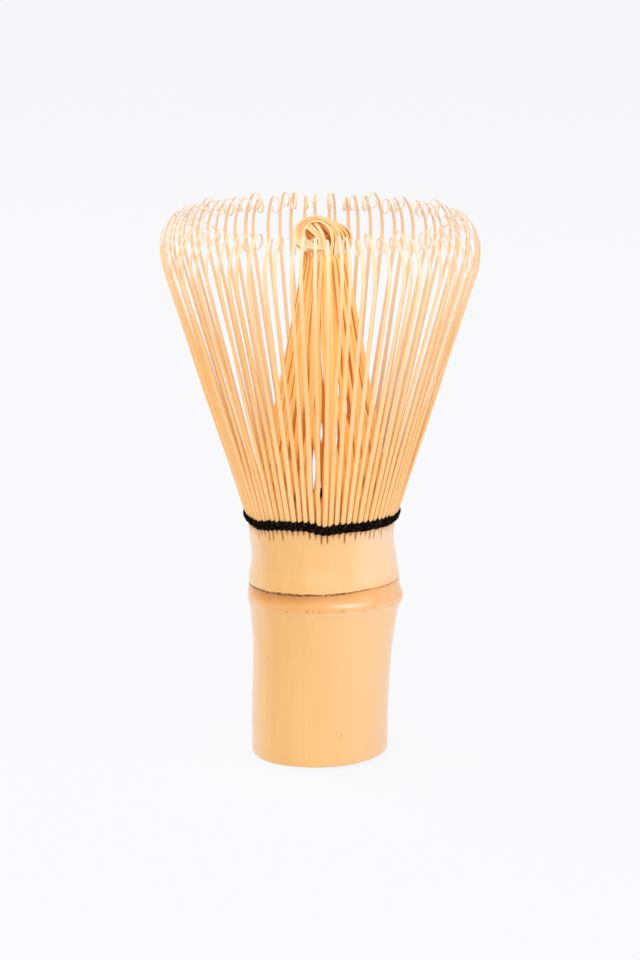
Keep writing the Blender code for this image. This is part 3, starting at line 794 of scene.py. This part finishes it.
def skin_tones(finish, tint, place):
    """Culm skin: a paler right side that is painted light, broad clouds and fine upright streaks of the deep
    colour.
    """
    cloud = finish.noise(finish.upright(place, 0.22), 190)
    streak = finish.noise(finish.upright(place, 0.022), 2100, 3, 0.6)
    deep = 0.5 * cloud.step(0.3, 0.75) + 0.34 * streak.step(0.35, 0.75)
    base = finish.mix(deep, tint.skin, tint.skin_deep)
    # Painted light: the skin grows paler towards the right, where the key light falls.
    lit_right = finish.part(place, "X").step(-6 * MM, 13 * MM)
    return finish.mix(lit_right * (0.55 + 0.5 * cloud), base, tint.skin_painted_light), streak, lit_right


def handle_finish(tint):
    """Waxy culm skin with an orange band at the node, a ragged leaf scar, specks, and fibrous cut wood;
    painted shade under the scar, in the slits and under the thread, and painted highlights on the ring and
    the sides.
    """
    finish = Finish("handle_bamboo", {"Specular IOR Level": 0.4, "Coat Roughness": 0.34, "Sheen Weight": 0.3,
                                      "Sheen Roughness": 0.35})
    paint, place = finish.paint, finish.place()
    finish.base, streak, lit_right = skin_tones(finish, tint, place)
    rise, scar, cut, slit, under = finish.attributes("node_rise", "scar_rise", "cut", "slit", "under")
    ragged = finish.noise(place, 1300, 3, 0.65)
    patch = finish.noise(finish.upright(place, 3), 330)
    cloudy = finish.noise(place, 120)
    dotted = finish.noise(place, 2700)

    sideways = finish.part(place, "X") * (1 / MM)
    front_left = sideways.step(-14.8, -10)
    # Painted reflection: the left edge of the culm paler; painted light: the right side above the leaf scar
    # paler.
    paint(0.28 - 0.28 * sideways.step(-14.5, -8.5), tint.painted_highlight)
    paint(lit_right.step(0.6, 1) * scar.step(0.2, 3) * 0.24, tint.painted_highlight)
    band = rise.step(-1.3, 0.9) * (1 - scar.step(-0.15, 0.1))
    # The band's orange fades towards the left edge, and it is weakened to the right as painted light.
    band *= (0.45 + 0.55 * front_left) * (1 - 0.35 * lit_right)
    paint(band * (0.35 + 0.55 * patch + 0.4 * cloudy.step(0.35, 0.65)), tint.node_band)
    halo = (scar + 0.5 * (patch - 0.5)).peak(-0.15, 0.75)
    paint(halo * 0.55, tint.node_band)
    shade = scar.step(-2.9, -0.2) * (1 - scar.step(-0.1, 0.15))
    shade *= 0.25 + 0.75 * front_left
    paint(shade * (0.68 - 0.62 * lit_right), tint.slit)
    thick = 0.05 + 0.16 * patch.step(0.3, 0.7) + 0.11 * (1 - lit_right)
    line = 1 - (abs(scar + 0.22 * (ragged - 0.5)) - thick).step(-0.13, 0.13)
    line *= (0.35 + 0.65 * dotted.step(0.4, 0.58)) * (1 - 0.45 * lit_right.step(0.7, 1))
    paint(line, tint.scar)
    lower = rise.peak(-0.7, 0.8) * (0.4 + 0.6 * front_left)
    paint(lower * patch.step(0.25, 0.65) * 0.34, tint.node_band)
    flecks = ragged.step(0.53, 0.66) * lower * patch.step(0.44, 0.56)
    paint(flecks * 0.65, tint.slit)
    # Painted highlights on the ring: a pale streak on the crest at the right, and a thin broken pale line
    # below the flecks.
    painted_crest_highlight = (rise + 0.5 * (patch - 0.5)).peak(0.5, 0.6)
    painted_crest_highlight *= lit_right.step(0.25, 0.65) * (1 - lit_right.step(0.7, 0.98))
    painted_low_highlight = rise.peak(-1.1, 0.3) * ragged.step(0.4, 0.55) * lit_right.step(0.1, 0.4) * 0.45
    paint((painted_crest_highlight | painted_low_highlight) * 0.62, tint.painted_highlight)
    rare = finish.part(finish.cells(place, 210, "Color"), "X").step(0.8, 0.84)
    paint((1 - finish.cells(place, 210).step(0.03, 0.085)) * rare * 0.5, tint.fibre)

    bundles = finish.cells(finish.upright(place, 0.05), 1700)
    paint(cut, finish.mix((1 - bundles.step(0.18, 0.45)) * 0.8, tint.cut, tint.fibre))
    # Painted shade just under the thread, in the fibre colour.
    painted_thread_shade = (under + 0.6 * (ragged - 0.5)).step(-0.75, 0.1) * (0.35 + 0.5 * patch)
    paint(painted_thread_shade, tint.fibre)
    # Painted shade: the slits darkened inside.
    paint(slit.step(0.04, 0.75) * 0.92, tint.slit)
    bare = line | cut | slit | flecks | shade * (0.8 - 0.8 * lit_right)
    finish.fill(finish.shader, {"Coat Weight": 0.8 - 0.8 * bare})
    rough = 0.36 + 0.16 * streak + 0.3 * cut + 0.4 * line
    return finish.surface(rough, streak * 0.5 + ragged * 0.25 + bundles * cut * 0.8, 0.05 * MM, 0.5)


def tine_finish(name, tint, plain, ends, last, sides, edge, passed=(0, 0, 0)):
    """Split bamboo: fibre streaks along each tine, a tone of its own, paler shaved tips and a waxy root.

    The split sides are deeper, by the two shares of the edge below and near the tip, partly split wood and
    partly painted shade.
    Tines inside the bundle are deeper, as painted shade. The shaved inner face of an outer tine is paler,
    partly as painted light.
    Tines on the right and the curled ends are paler, as painted light. A faint emission is light passed
    through.
    """
    finish = Finish(name, {"Specular IOR Level": 0.36, "Emission Strength": 1,
                           "Emission Color": (*passed, 1)})
    paint, mix = finish.paint, finish.mix
    along, across, tone, tip, inside = finish.attributes("along", "across", "tone", "tip", "inside")
    fibre = finish.noise(finish.joined(across * 0.5 + tone * 37, tone * 91, along * 0.009), 7, 3, 0.6)
    blotch = finish.noise(finish.joined(tone * 53, along * 0.06, across * 0.2), 2.2)
    finish.base = mix(tone * 0.3 + fibre.step(0.35, 0.75) * 0.3, plain, tint.skin_deep)
    paint(tip.step(-30, -5) * (0.7 + 0.3 * tone), ends)
    skin, _, lit_right = skin_tones(finish, tint, finish.place())
    # Painted light: the tines on the right side paler above their roots.
    paint(lit_right.step(0.5, 1) * along.step(12, 45) * 0.35, last)
    finish.base = mix(along.step(1.5, 9), skin, finish.base)
    paint(blotch.step(0.6, 0.78) * 0.2, tint.node_band)
    # The inner face of an outer tine paler: partly the shaved wood, partly painted light on inner faces that
    # lie in shade.
    shaved = (0 - inside).step(0, 0.8) * along.step(8, 25)
    paint(shaved * (0.8 - 0.3 * along.step(35, 50)), last)
    # Paler ends: for the outer tines the curl colour, partly shaved wood and partly painted light passed
    # through the curls.
    paint(tip.step(-15, -5), last)
    # Painted shade: tines lying inside the bundle, and the inner faces of the inner tines, take the deep
    # split colour.
    paint(inside.step(0, 1) * 0.9, tint.split)
    # The sides of each tine deeper: partly the split wood's colour, partly painted shade between neighbouring
    # tines; near the knot the inner tines take the crease colour, painted shade that parts the strands.
    near_tip = tip.step(-30, -24)
    paint(abs(across).step(0.55, 1) * between(*edge, near_tip), mix(near_tip, tint.split, sides))
    return finish.surface(0.44 + 0.2 * fibre, fibre, 0.04 * MM, 0.5)


def thread_finish(tint):
    """Dull black thread: fine plies wound slantwise round each strand, with paler dusty fibres."""
    finish = Finish("black_thread", {"Specular IOR Level": 0.02})
    strand = finish.node("ShaderNodeUVMap", {"uv_map": "strand"})
    along, around = finish.part(strand, "X"), finish.part(strand, "Y")
    wound = along * 5200 + around * tau * 3
    ply = wound.maths("SINE", wound)
    fuzz = finish.noise(finish.place(), 2300, 3, 0.7)
    hair = finish.noise(finish.joined(wound * 0.8, along * 1800, 0), 1)
    dusty = fuzz.step(0.48, 0.68) * (0.3 + 0.9 * hair.step(0.4, 0.65))
    finish.base = finish.mix(dusty, tint.thread, tint.thread_dust)
    return finish.surface(0.82 + 0.15 * fuzz, ply * 0.4 + fuzz * 0.4 + hair * 0.3, 0.12 * MM, 0.9)


# Operators

class TEAWHISK_OT_handle(Operator):
    """Make the culm handle with its node, scar, foot and hollows"""
    bl_idname = "teawhisk.handle"
    bl_label = "Make Handle"

    def execute(self, context):
        scene = context.scene
        mesh = tubes_mesh("handle", *handle_surface(scene.whisk_handle, scene.whisk_thread))
        mesh.set_sharp_from_angle(angle=radians(50))
        add_piece(mesh, handle_finish(scene.whisk_colours), "handle_bamboo", "handle_culm")
        return {"FINISHED"}


class TEAWHISK_OT_outer_tines(Operator):
    """Make the outer tines, flared and curled at the tips"""
    bl_idname = "teawhisk.outer_tines"
    bl_label = "Make Outer Tines"

    def execute(self, context):
        scene, colours = context.scene, context.scene.whisk_colours
        points, attributes = outer_tine_surface(scene.whisk_tines, scene.whisk_handle)
        material = tine_finish("outer_tine_bamboo", colours, colours.tine, colours.tine_tip, colours.curl,
                               colours.split, (0.4, 0.06))
        add_splints("outer_splint", points, attributes, material, "outer_tine_bamboo", "outer_tines")
        return {"FINISHED"}


class TEAWHISK_OT_inner_tines(Operator):
    """Make the inner tines, closed to a tuft and swirled into the knot"""
    bl_idname = "teawhisk.inner_tines"
    bl_label = "Make Inner Tines"

    def execute(self, context):
        scene, colours = context.scene, context.scene.whisk_colours
        points, attributes = inner_tine_surface(scene.whisk_tuft, scene.whisk_handle.crown_height)
        material = tine_finish("inner_tine_bamboo", colours, colours.tuft, colours.tuft_tip, colours.tuft_tip,
                               colours.painted_side_shade, (0.45, 0.85), colours.passed)
        add_splints("inner_splint", points, attributes, material, "inner_tine_bamboo", "inner_tines")
        return {"FINISHED"}


class TEAWHISK_OT_thread(Operator):
    """Make the black thread that twines in and out of the outer tines"""
    bl_idname = "teawhisk.thread"
    bl_label = "Make Thread"

    def execute(self, context):
        scene = context.scene
        points, uv = thread_surface(scene.whisk_thread, scene.whisk_tines, scene.whisk_handle)
        mesh = tubes_mesh("binding_thread", points, corner_uv=uv)
        add_piece(mesh, thread_finish(scene.whisk_colours), "black_thread",
                  "thread_outer_wrap", "thread_inner_wrap")
        return {"FINISHED"}


class TEAWHISK_OT_stage(Operator):
    """Make the floor, the soft lights, the surroundings and the camera"""
    bl_idname = "teawhisk.stage"
    bl_label = "Make Stage"

    def execute(self, context):
        scene, stage = context.scene, context.scene.whisk_stage
        scene.view_settings.view_transform = "Standard"
        self.floor(stage)
        self.world(scene, stage)
        for name, place, size in LAMPS:
            self.lamp(f"{name}_light", getattr(stage, f"{name}_power"), place, size)
        camera = add_object("camera", bpy.data.cameras.new("camera"))
        camera.data.lens = stage.lens
        camera.data.sensor_width = 36
        camera.data.clip_start = 0.01
        camera.location = CAMERA_PLACE
        camera.rotation_euler = (pi / 2 - stage.pitch, 0, 0)
        scene.camera = camera
        return {"FINISHED"}

    def floor(self, stage):
        """A square sheet under the foot, whose finish shows the pale colour and some of the shadow."""
        mesh = bpy.data.meshes.new("floor")
        mesh.from_pydata(FLOOR_CORNERS, [], [(0, 1, 2, 3)])
        pale = (*stage.floor, 1)
        finish = Finish("pale_floor", {"Base Color": pale, "Roughness": 0.8, "Specular IOR Level": 0})
        glow = finish.node("ShaderNodeEmission", None, {"Color": pale, "Strength": 1.012})
        mixed = finish.node("ShaderNodeMixShader", None,
                            {0: finish.seen() * 0.93, 1: Wire(finish, finish.shader.outputs[0]), 2: glow})
        finish.fill(finish.tree.nodes["Material Output"], {"Surface": mixed})
        mesh.materials.append(finish.material)
        floor = add_object("floor", mesh)

    def world(self, scene, stage):
        """Even light, with the pale colour itself for the camera and in reflections."""
        scene.world = bpy.data.worlds.new("surroundings")
        scene.world.use_nodes = True
        nodes = Nodes(scene.world.node_tree)
        strength = between(stage.world_level, 1, nodes.seen())
        nodes.fill(nodes.tree.nodes["Background"], {"Color": (*stage.floor, 1), "Strength": strength})

    def lamp(self, name, watts, place, size):
        """A square soft light that faces the middle of the whisk."""
        lamp = bpy.data.lights.new(name, "AREA")
        lamp.energy = watts
        lamp.size = size
        light = add_object(name, lamp)
        light.location = place
        light.rotation_euler = (Vector(LAMP_AIM) - Vector(place)).to_track_quat("-Z", "Y").to_euler()


class TEAWHISK_PT_panel(Panel):
    """Sizes, colours and steps of the tea whisk"""
    bl_idname = "TEAWHISK_PT_panel"
    bl_label = "Bamboo Tea Whisk"
    bl_space_type = "VIEW_3D"
    bl_region_type = "UI"
    bl_category = "Tea Whisk"

    def draw(self, context):
        for key, group in GROUPS.items():
            box = self.layout.box()
            box.label(text=group.__doc__)
            for name in group.__annotations__:
                box.prop(getattr(context.scene, key), name)
        for step in STEPS:
            self.layout.operator(step.bl_idname)


GROUPS = {"whisk_handle": HandleSizes, "whisk_tines": TineSizes, "whisk_tuft": TuftSizes,
          "whisk_thread": ThreadSizes, "whisk_colours": BambooColours, "whisk_stage": StageSettings}
STEPS = (TEAWHISK_OT_handle, TEAWHISK_OT_outer_tines, TEAWHISK_OT_inner_tines, TEAWHISK_OT_thread,
         TEAWHISK_OT_stage)
CLASSES = (*GROUPS.values(), *STEPS, TEAWHISK_PT_panel)


def register():
    for item in CLASSES:
        bpy.utils.register_class(item)
    for key, group in GROUPS.items():
        setattr(bpy.types.Scene, key, PointerProperty(type=group))


def unregister():
    for key in GROUPS:
        delattr(bpy.types.Scene, key)
    for item in reversed(CLASSES):
        bpy.utils.unregister_class(item)


def main():
    register()
    bpy.ops.teawhisk.handle()
    bpy.ops.teawhisk.outer_tines()
    bpy.ops.teawhisk.inner_tines()
    bpy.ops.teawhisk.thread()
    bpy.ops.teawhisk.stage()


if __name__ == "__main__":
    main()
